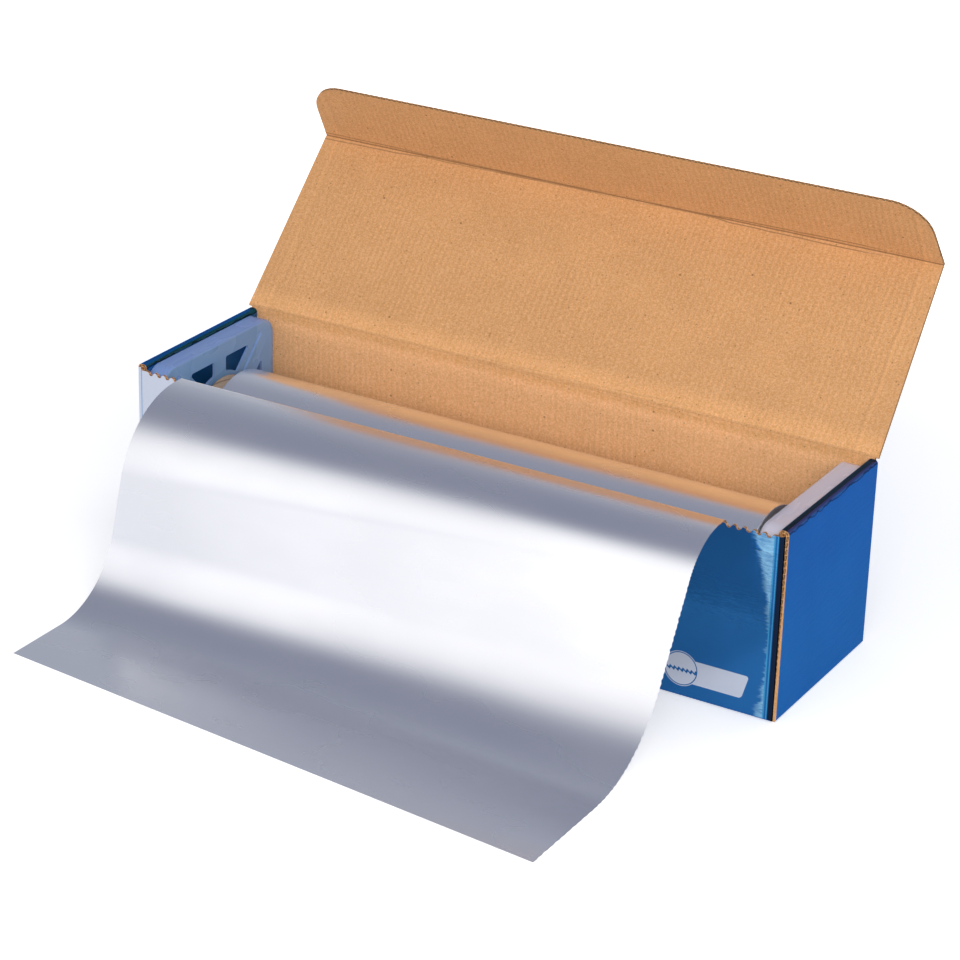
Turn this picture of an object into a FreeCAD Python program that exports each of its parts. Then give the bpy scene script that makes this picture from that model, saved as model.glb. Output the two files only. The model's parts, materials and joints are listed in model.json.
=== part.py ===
import FreeCAD
import Part
import math
import os
import Sketcher
from FreeCAD import Vector

# A wide aluminium foil roll in its open dispenser carton. The carton is one folded blank: a tray with a
# toothed front edge and rolled-over end walls, a hinged lid and a tuck flap. Two moulded holders stand
# against the end walls and carry the roll on their hubs. A length of foil is drawn over the teeth.
#
# Millimetres. X runs along the carton, -Y is the front, +Z is up. The origin is the middle of the
# carton's underside, on the table.

SIZES = {
    # folded blank
    "end_space": 29.0,
    "carton_depth": 100.0,
    "board": 1.6,
    "layer_gap": 0.2,
    "fold_radius": 2.4,
    "front_top": 93.4,
    "end_top": 96.0,
    "end_fold_radius": 2.0,
    "flap_slit": 1.0,
    "tab_width": 18.0,
    "tab_spacing": 56.0,
    "tab_clearance": 0.4,
    "tab_recess": 0.2,
    "bottom_fold_radius": 1.5,
    # teeth along the front edge
    "tooth_pitch": 5.0,
    "tooth_depth": 1.8,
    # lid, narrower towards its free edge; at rest it is swung back from shut
    "crease_gap": 0.25,
    "crease_round": 0.78,
    "lid_clearance": 0.1,
    "lid_length": 101.5,
    "lid_taper": 3.0,
    "lid_angle": 132.3,
    # tuck flap, narrower again; at rest it is folded forward from the lid's plane
    "flap_length": 40.0,
    "flap_taper": 3.0,
    "flap_corner": 20.0,
    "flap_angle": 75.0,
    # roll
    "roll_radius": 33.4,
    "roll_width": 300.0,
    "roll_shift": -1.0,
    "core_radius": 28.0,
    "core_wall": 1.8,
    "wrap_gap": 0.1,
    "hub_play": 0.3,
    "end_play": 0.4,
    # holders
    "holder_clearance": 0.3,
    "holder_end_gap": 0.4,
    "holder_height": 92.4,
    "holder_depth": 10.0,
    "holder_corner": 9.0,
    "holder_edge": 1.0,
    "holder_wall": 1.2,
    "hub_length": 16.0,
    "hub_wall": 1.4,
    "hub_lead": 0.8,
    "window_post": 10.0,
    "window_reach": 37.5,
    "window_rib": 15.6,
    "window_bottom": 30.0,
    "window_corner": 1.2,
    "rib_width": 7.0,
    "rib_height": 1.0,
    "rib_reach": 54.0,
    "rib_edge": 0.5,
    # drawn foil
    "sheet_thickness": 0.4,
    "sheet_shift": -2.5,
    "sheet_gap": 0.3,
    "web_bend": 2.0,
    "bend_setback": 0.5,
    "ledge": 4.0,
    "drop_radius_left": 48.0,
    "drop_radius_right": 33.0,
    "left_slope_angle": 74.0,
    "right_slope_angle": 61.5,
    "floor_radius_left": 45.0,
    "floor_radius_right": 65.0,
    "sheet_end_left": 185.4,
    "sheet_end_right": 215.9,
    # how far a cut runs on past the faces it opens
    "overshoot": 1.0,
}
TOLERANCE = 0.01

doc = FreeCAD.newDocument("foil_dispenser")
sheet = doc.addObject("Spreadsheet::Sheet", "sizes")
for row, (alias, value) in enumerate(SIZES.items(), start=1):
    sheet.set(f"A{row}", alias)
    sheet.set(f"B{row}", str(value))
    sheet.setAlias(f"B{row}", alias)
doc.recompute()


def cells(formula):
    """The formula with each size's name turned into its cell."""
    words = []
    word = ""
    for letter in formula + " ":
        if letter.isalnum() or letter == "_":
            word += letter
            continue
        words.append(f"sizes.{word}" if word in SIZES else word)
        words.append(letter)
        word = ""
    return "".join(words).strip()


def number(formula):
    """The formula's present value."""
    return float(sheet.evalExpression(cells(formula)))


def new_body(label):
    body = doc.addObject("PartDesign::Body", label)
    body.Label = label
    return body


def new_sketch(body, name, role, offset="0"):
    """A sketch on one of the body's own origin planes, moved along that plane's normal."""
    sketch = body.newObject("Sketcher::SketchObject", name)
    plane = [feature for feature in body.Origin.OriginFeatures if feature.Role == role][0]
    sketch.AttachmentSupport = [(plane, "")]
    sketch.MapMode = "FlatFace"
    sketch.setExpression("AttachmentOffset.Base.z", cells(offset))
    return sketch


def add_arc(sketch, start, end, radius):
    """The short arc from start to end; a positive radius turns left. Returns its start and end posts."""
    chord = end - start
    side = Vector(-chord.y, chord.x, 0).normalize() * math.copysign(1, radius)
    rise = math.sqrt(max(radius**2 - chord.Length**2 / 4, 0))
    centre = start + chord / 2 + side * rise
    first, last = (start, end) if radius > 0 else (end, start)
    angles = [math.atan2(point.y - centre.y, point.x - centre.x) for point in (first, last)]
    if angles[1] < angles[0]:
        angles[1] += 2 * math.pi
    circle = Part.Circle(centre, Vector(0, 0, 1), abs(radius))
    sketch.addGeometry(Part.ArcOfCircle(circle, *angles))
    return (1, 2) if radius > 0 else (2, 1)


def outline(sketch, corners):
    """A closed outline through corners, each (x, y) or (x, y, radius) where an arc leaves the corner."""
    first = sketch.GeometryCount
    count = len(corners)
    points = [Vector(number(corner[0]), number(corner[1]), 0) for corner in corners]
    posts = []
    for index, corner in enumerate(corners):
        start, end = points[index], points[(index + 1) % count]
        if len(corner) == 3:
            posts.append(add_arc(sketch, start, end, number(corner[2])))
        else:
            sketch.addGeometry(Part.LineSegment(start, end))
            posts.append((1, 2))
    for index, corner in enumerate(corners):
        edge = first + index
        after = (index + 1) % count
        ends = edge, posts[index][1], first + after, posts[after][0]
        sketch.addConstraint(Sketcher.Constraint("Coincident", *ends))
        for kind, formula in zip(("DistanceX", "DistanceY"), corner):
            from_origin = -1, 1, edge, posts[index][0], number(formula)
            rule = sketch.addConstraint(Sketcher.Constraint(kind, *from_origin))
            sketch.setExpression(f"Constraints[{rule}]", cells(formula))
        if len(corner) == 3:
            rule = sketch.addConstraint(Sketcher.Constraint("Radius", edge, abs(number(corner[2]))))
            sketch.setExpression(f"Constraints[{rule}]", cells(f"abs({corner[2]})"))


def outline_both_sides(sketch, corners):
    """The outline and its mirror image across the sketch's vertical axis."""
    for sign in ("", "-"):
        outline(sketch, [
            (f"{sign}({x})", y, *(f"{sign}({radius})" for radius in arc)) for x, y, *arc in corners
        ])


def rectangle(sketch, left, right, low, high):
    outline(sketch, [(left, low), (right, low), (right, high), (left, high)])


def rounded_square(sketch, half_width, half_height, radius):
    """A square outline about the sketch's origin, with round corners."""
    across, up = f"({half_width} - {radius})", f"({half_height} - {radius})"
    outline(sketch, [
        (f"-{across}", f"-{half_height}"),
        (across, f"-{half_height}", radius),
        (half_width, f"-{up}"),
        (half_width, up, radius),
        (across, half_height),
        (f"-{across}", half_height, radius),
        (f"-{half_width}", up),
        (f"-{half_width}", f"-{up}", radius),
    ])


def ring(sketch, *radii):
    """Circles about the sketch's origin."""
    for radius in radii:
        edge = sketch.addGeometry(Part.Circle(Vector(), Vector(0, 0, 1), number(radius)))
        sketch.addConstraint(Sketcher.Constraint("Coincident", edge, 3, -1, 1))
        rule = sketch.addConstraint(Sketcher.Constraint("Radius", edge, number(radius)))
        sketch.setExpression(f"Constraints[{rule}]", cells(radius))


def pad(body, name, sketch, length, both_ways=False, backwards=False):
    feature = body.newObject("PartDesign::Pad", name)
    feature.Profile = sketch
    feature.setExpression("Length", cells(length))
    feature.Midplane = both_ways
    feature.Reversed = backwards
    doc.recompute()
    return feature


def pocket(body, name, sketch, length, both_ways=False, backwards=False):
    before = body.Shape.Volume
    feature = body.newObject("PartDesign::Pocket", name)
    feature.Profile = sketch
    feature.setExpression("Length", cells(length))
    feature.Midplane = both_ways
    feature.Reversed = backwards
    doc.recompute()
    if body.Shape.Volume >= before:
        raise RuntimeError(f"{name} cuts nothing")
    return feature


def around_four(body, name, feature, sketch):
    """Repeats a feature at the four sides, about the line square to its sketch."""
    around = body.newObject("PartDesign::PolarPattern", name)
    around.Originals = [feature]
    around.Axis = (sketch, ["N_Axis"])
    around.Angle = 360
    around.Occurrences = 4
    body.Tip = around
    doc.recompute()


def round_edges(body, name, radius, wanted):
    """Fillets the body's edges for which wanted(edge) holds."""
    shape = body.Shape
    names = [f"Edge{index}" for index, edge in enumerate(shape.Edges, start=1) if wanted(edge)]
    if not names:
        raise RuntimeError(f"{name} finds no edge")
    base = body.Tip
    feature = body.newObject("PartDesign::Fillet", name)
    feature.Base = (base, names)
    feature.setExpression("Radius", cells(radius))
    doc.recompute()
    return feature


def runs_along(edge, axis):
    """True for a straight edge along axis."""
    if not isinstance(edge.Curve, Part.Line):
        return False
    return near(abs(edge.Curve.Direction.dot(axis)), 1)


def near(value, target):
    return abs(value - target) < TOLERANCE


def turned(y, z, *turns):
    """A placement formula: a point in the YZ plane, then turns about X, in degrees, one after the other."""
    angle = " ".join(turns)
    place = f"create(<<vector>>; 0; {y}; {z})"
    turn = f"create(<<rotation>>; create(<<vector>>; 1; 0; 0); {angle})"
    return cells(f"create(<<placement>>; {place}; {turn})")


X, Y, Z = Vector(1, 0, 0), Vector(0, 1, 0), Vector(0, 0, 1)

# Shared places, worked out from the sizes
end_outside = "(roll_width / 2 + end_space)"
sleeve_end = f"({end_outside} - board - layer_gap)"
end_inside = f"({end_outside} - 3 * board - 2 * layer_gap)"
front_outside = "carton_depth / 2"
front_inside = f"({front_outside} - board)"
lid_end = f"({end_outside} - lid_taper)"
flap_end = f"({lid_end} - flap_taper)"
hinge_y = f"({front_outside} - board / 2)"
hinge_z = "(end_top + layer_gap + lid_clearance + board / 2)"
back_top = f"({hinge_z} - board / 2 - crease_gap)"
holder_face = f"({end_inside} - holder_end_gap - holder_depth)"
axis_z = "(board + holder_clearance + holder_height / 2)"
hub_radius = "(core_radius - core_wall - hub_play)"
tooth_count = f"floor(2 * ({sleeve_end} - fold_radius) / tooth_pitch)"


def make_tray():
    """Bottom, front, back, corner flaps and the end walls that are rolled over them."""
    body = new_body("carton_tray")

    sketch = new_sketch(body, "sleeve_plan", "XY_Plane")
    rectangle(sketch, f"-{sleeve_end}", sleeve_end, f"-{front_outside}", front_outside)
    pad(body, "sleeve", sketch, "front_top")
    round_edges(
        body, "sleeve_folds", "fold_radius",
        lambda edge: runs_along(edge, Z) or (runs_along(edge, X) and near(edge.BoundBox.ZMax, 0)),
    )
    sketch = new_sketch(body, "well_plan", "XY_Plane", "board")
    rectangle(sketch, f"-({sleeve_end} - board)", f"{sleeve_end} - board", f"-{front_inside}", front_inside)
    pocket(body, "well", sketch, "front_top", backwards=True)
    well_y, well_z = number(front_inside), number("board")
    round_edges(
        body, "well_folds", "fold_radius - board",
        lambda edge: (
            near(abs(edge.BoundBox.Center.y), well_y)
            and (runs_along(edge, Z) or (runs_along(edge, X) and near(edge.BoundBox.ZMax, well_z)))
        ),
    )
    # the back stands higher than the front, up to the crease
    sketch = new_sketch(body, "back_plan", "XY_Plane", "front_top - board")
    reach = f"({sleeve_end} - fold_radius)"
    rectangle(sketch, f"-{reach}", reach, front_inside, front_outside)
    pad(body, "back_edge", sketch, f"{back_top} - front_top + board")

    # the corner flaps from front and back meet at the middle of each end
    sketch = new_sketch(body, "slit_plan", "XY_Plane", "2 * board")
    for sign in ("", "-"):
        rectangle(
            sketch, f"{sign}({sleeve_end} - 2 * board)", f"{sign}({end_outside} - board)",
            "-flap_slit / 2", "flap_slit / 2",
        )
    pocket(body, "flap_slits", sketch, "front_top", backwards=True)

    # bottom out to the end walls
    sketch = new_sketch(body, "bottom_plan", "XY_Plane")
    rectangle(
        sketch, f"-{end_outside}", end_outside,
        f"-({front_outside} - fold_radius)", f"{front_outside} - fold_radius",
    )
    pad(body, "bottom", sketch, "board")

    # end walls: up outside, over the top and down inside
    sketch = new_sketch(body, "end_wall_section", "XZ_Plane")
    outer, outer_bend = end_outside, f"{end_outside} - end_fold_radius"
    inner, inner_bend = end_inside, f"{end_inside} + end_fold_radius"
    shoulder = "(end_top - end_fold_radius)"
    outline_both_sides(sketch, [
        (outer, "0"),
        (outer, shoulder, "end_fold_radius"),
        (outer_bend, "end_top"),
        (inner_bend, "end_top", "end_fold_radius"),
        (inner, shoulder),
        (inner, "board"),
        (f"{inner} + board", "board"),
        (f"{inner} + board", shoulder, "-(end_fold_radius - board)"),
        (inner_bend, "end_top - board"),
        (outer_bend, "end_top - board", "-(end_fold_radius - board)"),
        (f"{outer} - board", shoulder),
        (f"{outer} - board", "0"),
    ])
    pad(body, "end_walls", sketch, f"2 * ({front_inside} - layer_gap)", both_ways=True)
    end_x = number(end_outside)
    round_edges(
        body, "end_bottom_folds", "bottom_fold_radius",
        lambda edge: (
            runs_along(edge, Y) and near(edge.BoundBox.ZMax, 0) and near(abs(edge.BoundBox.Center.x), end_x)
        ),
    )

    # the inner end panels stand on tabs that lock through slots in the bottom
    for name, extra, low, high in (
        ("slot", "tab_clearance", "-overshoot", "board"),
        ("tab", "0", "tab_recess", "board + overshoot"),
    ):
        sketch = new_sketch(body, f"{name}_plan", "XY_Plane", low)
        for sign in ("", "-"):
            for place in ("-", ""):
                middle = f"{place}tab_spacing / 2"
                rectangle(
                    sketch,
                    f"{sign}({end_inside} - {extra})", f"{sign}({end_inside} + board + {extra})",
                    f"{middle} - tab_width / 2 - {extra}", f"{middle} + tab_width / 2 + {extra}",
                )
        if name == "slot":
            pocket(body, "slots", sketch, f"{high} - ({low})", backwards=True)
        else:
            pad(body, "tabs", sketch, f"{high} - {low}")

    # one tooth gap, then the row of them
    sketch = new_sketch(body, "tooth_gap", "XZ_Plane", front_outside)
    start = f"(tooth_pitch * (1 - {tooth_count}) / 2)"
    lean = "(2 * atan(tooth_depth * 2 / tooth_pitch))"
    curve = f"(tooth_pitch / 4 / sin({lean}))"
    outline(sketch, [
        (f"{start} - tooth_pitch / 2", "front_top", f"-{curve}"),
        (f"{start} - tooth_pitch / 4", "front_top - tooth_depth / 2", curve),
        (f"{start} + tooth_pitch / 4", "front_top - tooth_depth / 2", f"-{curve}"),
        (f"{start} + tooth_pitch / 2", "front_top"),
        (f"{start} + tooth_pitch / 2", "front_top + overshoot"),
        (f"{start} - tooth_pitch / 2", "front_top + overshoot"),
    ])
    gap = pocket(body, "gap_between_teeth", sketch, "board + layer_gap")
    row = body.newObject("PartDesign::LinearPattern", "teeth")
    row.Originals = [gap]
    row.Direction = (sketch, ["H_Axis"])
    row.setExpression("Length", cells(f"tooth_pitch * ({tooth_count} - 1)"))
    row.setExpression("Occurrences", cells(tooth_count))
    body.Tip = row
    doc.recompute()
    return body


def make_lid():
    """Flat board on the rear crease; its local origin is on the crease and it runs towards -Y when shut."""
    body = new_body("carton_lid")
    sketch = new_sketch(body, "lid_plan", "XY_Plane")
    free = "-(lid_length - board / 2 - crease_gap)"
    outline(sketch, [
        (f"-{end_outside}", "board / 2"),
        (f"-{lid_end}", free),
        (lid_end, free),
        (end_outside, "board / 2"),
    ])
    pad(body, "panel", sketch, "board", both_ways=True)
    nose = number("board / 2")
    round_edges(
        body, "rear_crease", "crease_round",
        lambda edge: runs_along(edge, X) and near(edge.BoundBox.Center.y, nose),
    )
    body.setExpression("Placement", turned(hinge_y, hinge_z, "-lid_angle"))
    return body


def make_flap():
    """Tuck flap on the lid's front crease, with rounded outer corners."""
    body = new_body("tuck_flap")
    sketch = new_sketch(body, "flap_plan", "XY_Plane")
    outline(sketch, [
        (f"-{lid_end}", "board / 2"),
        (f"-{flap_end}", "-flap_length"),
        (flap_end, "-flap_length"),
        (lid_end, "board / 2"),
    ])
    pad(body, "panel", sketch, "board", both_ways=True)
    tip, nose = number("-flap_length"), number("board / 2")
    round_edges(
        body, "outer_corners", "flap_corner",
        lambda edge: runs_along(edge, Z) and near(edge.BoundBox.Center.y, tip),
    )
    round_edges(
        body, "front_crease", "crease_round",
        lambda edge: runs_along(edge, X) and near(edge.BoundBox.Center.y, nose),
    )
    crease_y = f"({hinge_y} - lid_length * cos(lid_angle))"
    crease_z = f"({hinge_z} + lid_length * sin(lid_angle))"
    body.setExpression("Placement", turned(crease_y, crease_z, "flap_angle", "- lid_angle"))
    return body


def make_holder(label, side):
    """Moulded square dish whose plate faces the roll: hub, eight windows and four diagonal ribs."""
    body = new_body(label)
    half_width = f"({front_inside} - holder_clearance)"
    half_height = "(holder_height / 2)"

    sketch = new_sketch(body, "dish_outline", "YZ_Plane")
    rounded_square(sketch, half_width, half_height, "holder_corner")
    pad(body, "dish", sketch, "holder_depth")
    round_edges(body, "dish_edge", "holder_edge", lambda edge: near(edge.BoundBox.XMax, 0))

    sketch = new_sketch(body, "hollow_outline", "YZ_Plane", "holder_wall")
    rounded_square(
        sketch, f"({half_width} - holder_wall)", f"({half_height} - holder_wall)",
        "(holder_corner - holder_wall)",
    )
    pocket(body, "hollow", sketch, "holder_depth", backwards=True)

    # hub that the tube's end turns on
    sketch = new_sketch(body, "hub_circle", "YZ_Plane")
    ring(sketch, hub_radius)
    pad(body, "hub", sketch, "hub_length", backwards=True)
    sketch = new_sketch(body, "hub_bore_circle", "YZ_Plane", "holder_wall + overshoot")
    ring(sketch, f"{hub_radius} - hub_wall")
    pocket(body, "hub_bore", sketch, "hub_length + holder_wall + 2 * overshoot")
    tip = number("-hub_length")
    shape = body.Shape
    rim = [
        f"Edge{index}" for index, edge in enumerate(shape.Edges, start=1)
        if near(edge.BoundBox.XMax, tip) and near(edge.BoundBox.ZMax, number(hub_radius))
    ]
    base = body.Tip
    lead = body.newObject("PartDesign::Chamfer", "hub_lead_in")
    lead.Base = (base, rim)
    lead.setExpression("Size", cells("hub_lead"))
    doc.recompute()

    # windows in pairs, a post between them, and a diagonal band left at each corner
    sketch = new_sketch(body, "window_pair", "YZ_Plane", "holder_wall + overshoot")
    offset = "(window_rib / sqrt(2))"
    root = f"(({offset} + sqrt(2 * window_bottom^2 - {offset}^2)) / 2)"
    outline_both_sides(sketch, [
        ("window_post / 2", "window_reach"),
        (f"window_reach - {offset}", "window_reach"),
        (f"{root} - {offset}", root, "window_bottom"),
        ("window_post / 2", "sqrt(window_bottom^2 - (window_post / 2)^2)"),
    ])
    gap = pocket(body, "windows", sketch, "holder_wall + 2 * overshoot")
    around_four(body, "windows_around", gap, sketch)
    near_end, far_end = number("core_radius"), number("window_reach * sqrt(2)")
    plate = number("holder_wall") + TOLERANCE
    round_edges(
        body, "window_corners", "window_corner",
        lambda edge: (
            runs_along(edge, X) and edge.BoundBox.XMax < plate
            and near_end < math.hypot(edge.BoundBox.Center.y, edge.BoundBox.Center.z) < far_end
        ),
    )

    # raised diagonal ribs on the roll's side
    sketch = new_sketch(body, "rib_outline", "YZ_Plane")
    start, end, half = "(window_bottom / sqrt(2))", "(rib_reach / sqrt(2))", "(rib_width / 2 / sqrt(2))"
    outline(sketch, [
        (f"{start} + {half}", f"{start} - {half}"),
        (f"{end} + {half}", f"{end} - {half}"),
        (f"{end} - {half}", f"{end} + {half}"),
        (f"{start} - {half}", f"{start} + {half}"),
    ])
    rib = pad(body, "rib", sketch, "rib_height", backwards=True)
    around_four(body, "ribs_around", rib, sketch)
    face = number("-rib_height")
    round_edges(
        body, "rib_edges", "rib_edge",
        lambda edge: near(edge.BoundBox.XMin, face) and near(edge.BoundBox.XMax, face),
    )

    quarter = "0" if side > 0 else "180"
    sign = "" if side > 0 else "-"
    body.setExpression("Placement", cells(
        f"create(<<placement>>; create(<<vector>>; {sign}{holder_face}; 0; {axis_z}); "
        f"create(<<rotation>>; create(<<vector>>; 0; 0; 1); {quarter}))"
    ))
    return body


def make_core():
    """Wound paper tube between the two holders."""
    body = new_body("core_tube")
    sketch = new_sketch(body, "tube_section", "YZ_Plane")
    ring(sketch, "core_radius", "core_radius - core_wall")
    pad(body, "tube", sketch, f"2 * ({holder_face} - rib_height - end_play)", both_ways=True)
    body.setExpression("Placement.Base.z", cells(axis_z))
    return body


def make_roll():
    """The wound turns of foil, as one solid of revolution on the tube."""
    body = new_body("foil_roll")
    sketch = new_sketch(body, "turns_section", "XY_Plane")
    rectangle(
        sketch, "roll_shift - roll_width / 2", "roll_shift + roll_width / 2",
        "core_radius + wrap_gap", "roll_radius",
    )
    turns = body.newObject("PartDesign::Revolution", "turns")
    turns.Profile = sketch
    turns.ReferenceAxis = (sketch, ["H_Axis"])
    turns.Angle = 360
    doc.recompute()
    body.setExpression("Placement.Base.z", cells(axis_z))
    return body


def strip(hand):
    """Section of the drawn foil at one edge: both faces, from the roll, over the teeth, to its cut end."""
    slope, drop, floor = f"{hand}_slope_angle", f"drop_radius_{hand}", f"floor_radius_{hand}"
    end = f"sheet_end_{hand}"
    middle = "(sheet_thickness / 2)"
    orbit = f"(roll_radius + sheet_gap + {middle})"
    top = f"(front_top + sheet_gap + {middle})"
    bend_y, bend_z = f"-({front_inside} + bend_setback)", f"({top} - web_bend)"
    # the web is the crossing tangent of the roll and of the bend behind the teeth
    across, rise = f"({front_inside} + bend_setback)", f"({bend_z} - {axis_z})"
    lean = f"(acos(({orbit} + web_bend) / sqrt({across}^2 + {rise}^2)) - atan({rise} / {across}))"
    start_y, start_z = f"(-{orbit} * cos({lean}))", f"({axis_z} - {orbit} * sin({lean}))"
    drop_y, drop_z = f"({bend_y} - ledge)", f"({top} - {drop})"
    slope_end_z = f"({middle} + {floor} * (1 - cos({slope})))"
    slope_start_y = f"({drop_y} - {drop} * sin({slope}))"
    slope_start_z = f"({drop_z} + {drop} * cos({slope}))"
    slope_end_y = f"({slope_start_y} - ({slope_start_z} - {slope_end_z}) / tan({slope}))"
    floor_y, floor_z = f"({slope_end_y} - {floor} * sin({slope}))", f"({middle} + {floor})"

    def face(shift):
        """Corners of one face, shift away from the middle of the foil; positive is the upper face."""
        bend, over, under = f"(web_bend + {shift})", f"({drop} + {shift})", f"({floor} - {shift})"
        return [
            (f"{start_y} + {shift} * cos({lean})", f"{start_z} + {shift} * sin({lean})"),
            (f"{bend_y} + {bend} * cos({lean})", f"{bend_z} + {bend} * sin({lean})", bend),
            (bend_y, f"{bend_z} + {bend}"),
            (drop_y, f"{drop_z} + {over}", over),
            (f"{drop_y} - {over} * sin({slope})", f"{drop_z} + {over} * cos({slope})"),
            (f"{floor_y} + {under} * sin({slope})", f"{floor_z} - {under} * cos({slope})", f"-{under}"),
            (floor_y, f"{floor_z} - {under}"),
            (f"-{end}", f"{floor_z} - {under}"),
        ]

    upper = face(middle)
    lower = face(f"(-{middle})")
    back = []
    for index in range(len(lower) - 1, -1, -1):
        place = lower[index][:2]
        arc = lower[index - 1][2:] if index > 0 else ()
        back.append(place + tuple(f"-({radius})" for radius in arc))
    return upper + back


def make_sheet():
    """The foil drawn from the roll, up behind the front wall, over the teeth and down to the table."""
    body = new_body("foil_sheet")
    sections = []
    for hand, sign in (("left", "-"), ("right", "+")):
        sketch = new_sketch(body, f"{hand}_edge", "YZ_Plane", f"sheet_shift {sign} roll_width / 2")
        outline(sketch, strip(hand))
        sections.append(sketch)
    doc.recompute()
    loft = body.newObject("PartDesign::AdditiveLoft", "drawn_foil")
    loft.Profile = sections[0]
    loft.Sections = sections[1:]
    loft.Ruled = True
    doc.recompute()
    return body


parts = [
    make_tray(),
    make_lid(),
    make_flap(),
    make_holder("end_holder_left", -1),
    make_holder("end_holder_right", 1),
    make_core(),
    make_roll(),
    make_sheet(),
]
doc.recompute()

for item in doc.Objects:
    if "Invalid" in item.State or "Error" in item.State:
        raise RuntimeError(f"{item.Label} failed: {item.State}")
for item in parts:
    if item.Shape.isNull() or not item.Shape.isValid() or len(item.Shape.Solids) != 1:
        raise RuntimeError(f"{item.Label} is not one sound solid")

os.makedirs("parts", exist_ok=True)
for item in parts:
    item.Shape.exportStep(f"parts/{item.Label}.step")
    box = item.Shape.BoundBox
    print(item.Label, round(item.Shape.Volume, 1), [round(value, 2) for value in (
        box.XMin, box.YMin, box.ZMin, box.XMax, box.YMax, box.ZMax)])
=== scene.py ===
"""Looks of an open foil dispenser, built round the packed model as a fixed frame.

Metres, in the frame's axes: X runs along the carton, -Y is its toothed front and Z is up. The board, the
creases, the wound turns and the drawn foil are made here; the holders and the tube keep their solids.
"""

import json
import math

import bmesh
import bpy
from bpy.props import FloatProperty, FloatVectorProperty, IntProperty, PointerProperty
from mathutils import Matrix, Vector, noise


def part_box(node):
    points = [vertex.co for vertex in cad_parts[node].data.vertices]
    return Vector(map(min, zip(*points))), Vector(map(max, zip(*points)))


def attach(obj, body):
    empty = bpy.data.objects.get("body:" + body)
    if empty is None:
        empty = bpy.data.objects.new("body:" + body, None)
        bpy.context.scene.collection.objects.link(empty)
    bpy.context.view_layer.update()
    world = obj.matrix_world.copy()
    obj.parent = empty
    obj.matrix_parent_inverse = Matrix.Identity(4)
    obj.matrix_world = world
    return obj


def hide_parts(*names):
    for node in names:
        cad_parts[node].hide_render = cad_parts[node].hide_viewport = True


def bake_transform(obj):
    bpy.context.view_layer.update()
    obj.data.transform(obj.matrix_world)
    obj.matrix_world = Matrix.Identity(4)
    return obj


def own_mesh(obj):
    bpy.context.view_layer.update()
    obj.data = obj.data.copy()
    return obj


bl_info = {
    "name": "Foil Dispenser",
    "version": (1, 0, 0),
    "blender": (4, 5, 0),
    "location": "View3D > Sidebar > Dispenser",
    "description": "Builds an open foil dispenser with its board, creases, holders and drawn foil",
    "category": "Object",
}

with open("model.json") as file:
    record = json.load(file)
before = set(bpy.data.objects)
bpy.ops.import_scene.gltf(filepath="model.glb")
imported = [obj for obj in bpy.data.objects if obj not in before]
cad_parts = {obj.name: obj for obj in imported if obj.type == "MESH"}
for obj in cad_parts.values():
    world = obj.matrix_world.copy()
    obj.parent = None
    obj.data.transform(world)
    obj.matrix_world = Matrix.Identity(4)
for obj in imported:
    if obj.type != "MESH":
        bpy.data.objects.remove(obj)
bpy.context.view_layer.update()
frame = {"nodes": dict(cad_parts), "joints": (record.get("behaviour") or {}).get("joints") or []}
joints = {joint["name"]: joint for joint in frame["joints"]}

# Places that the frame gives
tray_low, tray_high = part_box("carton_tray")
roll_low, roll_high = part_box("foil_roll")
lid_hinge = Vector(joints["lid_crease"]["pos_m"])
flap_hinge = Vector(joints["flap_crease"]["pos_m"])
roll_axis = Vector(joints["roll_spin"]["pos_m"])
lid_angle = math.radians(-joints["lid_crease"]["range_deg"][0])
flap_angle = math.radians(-joints["flap_crease"]["range_deg"][0])
roll_radius = roll_high.y

# The blank's own sizes, as in the part
BOARD = 0.0016
FOLD_RADIUS = 0.0024
END_FOLD_RADIUS = 0.002
END_TOP = 0.096
END_LINING = 3 * BOARD + 0.0004
CORNER_FLAP_END = tray_high.x - BOARD - 0.0002
END_WALL_REACH = tray_high.y - BOARD - 0.0002
NEAR = 0.00015

# The drawn foil's path, as in the part
SHEET_GAP = 0.0005
SHEET_SHIFT = -0.0025
SHEET_WIDTH = 0.3
WEB_BEND = 0.002
BEND_SETBACK = 0.0005
LEDGE = 0.004
TOOTH_TOP = 0.0934
DROP_RADII = (0.048, 0.033)
SLOPES = (math.radians(74), math.radians(61.5))
FLOOR_RADII = (0.045, 0.065)
SHEET_ENDS = (0.1854, 0.2159)
SHUT_PLANE = tray_low.y - 0.0004

# Where the tray's finishes change
WRAP_TOP = END_TOP - 0.008
TOOTH_FOOT = TOOTH_TOP - 0.0022
SLIT_HALF = 0.002


class CartonSettings(bpy.types.PropertyGroup):
    """Board and print of the carton."""

    print_blue: FloatVectorProperty(
        name="Print Blue", description="Colour of the metallised print", subtype="COLOR",
        default=(0.016, 0.118, 0.33), min=0, max=1,
    )
    print_pale: FloatVectorProperty(
        name="Print Pale", description="Colour of the pale field and the label", subtype="COLOR",
        default=(0.52, 0.56, 0.65), min=0, max=1,
    )
    kraft: FloatVectorProperty(
        name="Kraft", description="Colour of the bare inner liner", subtype="COLOR",
        default=(0.68, 0.355, 0.15), min=0, max=1,
    )
    flute_pitch: FloatProperty(
        name="Flute Pitch", description="Distance from flute to flute", default=0.0032,
        subtype="DISTANCE", unit="LENGTH",
    )


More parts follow.
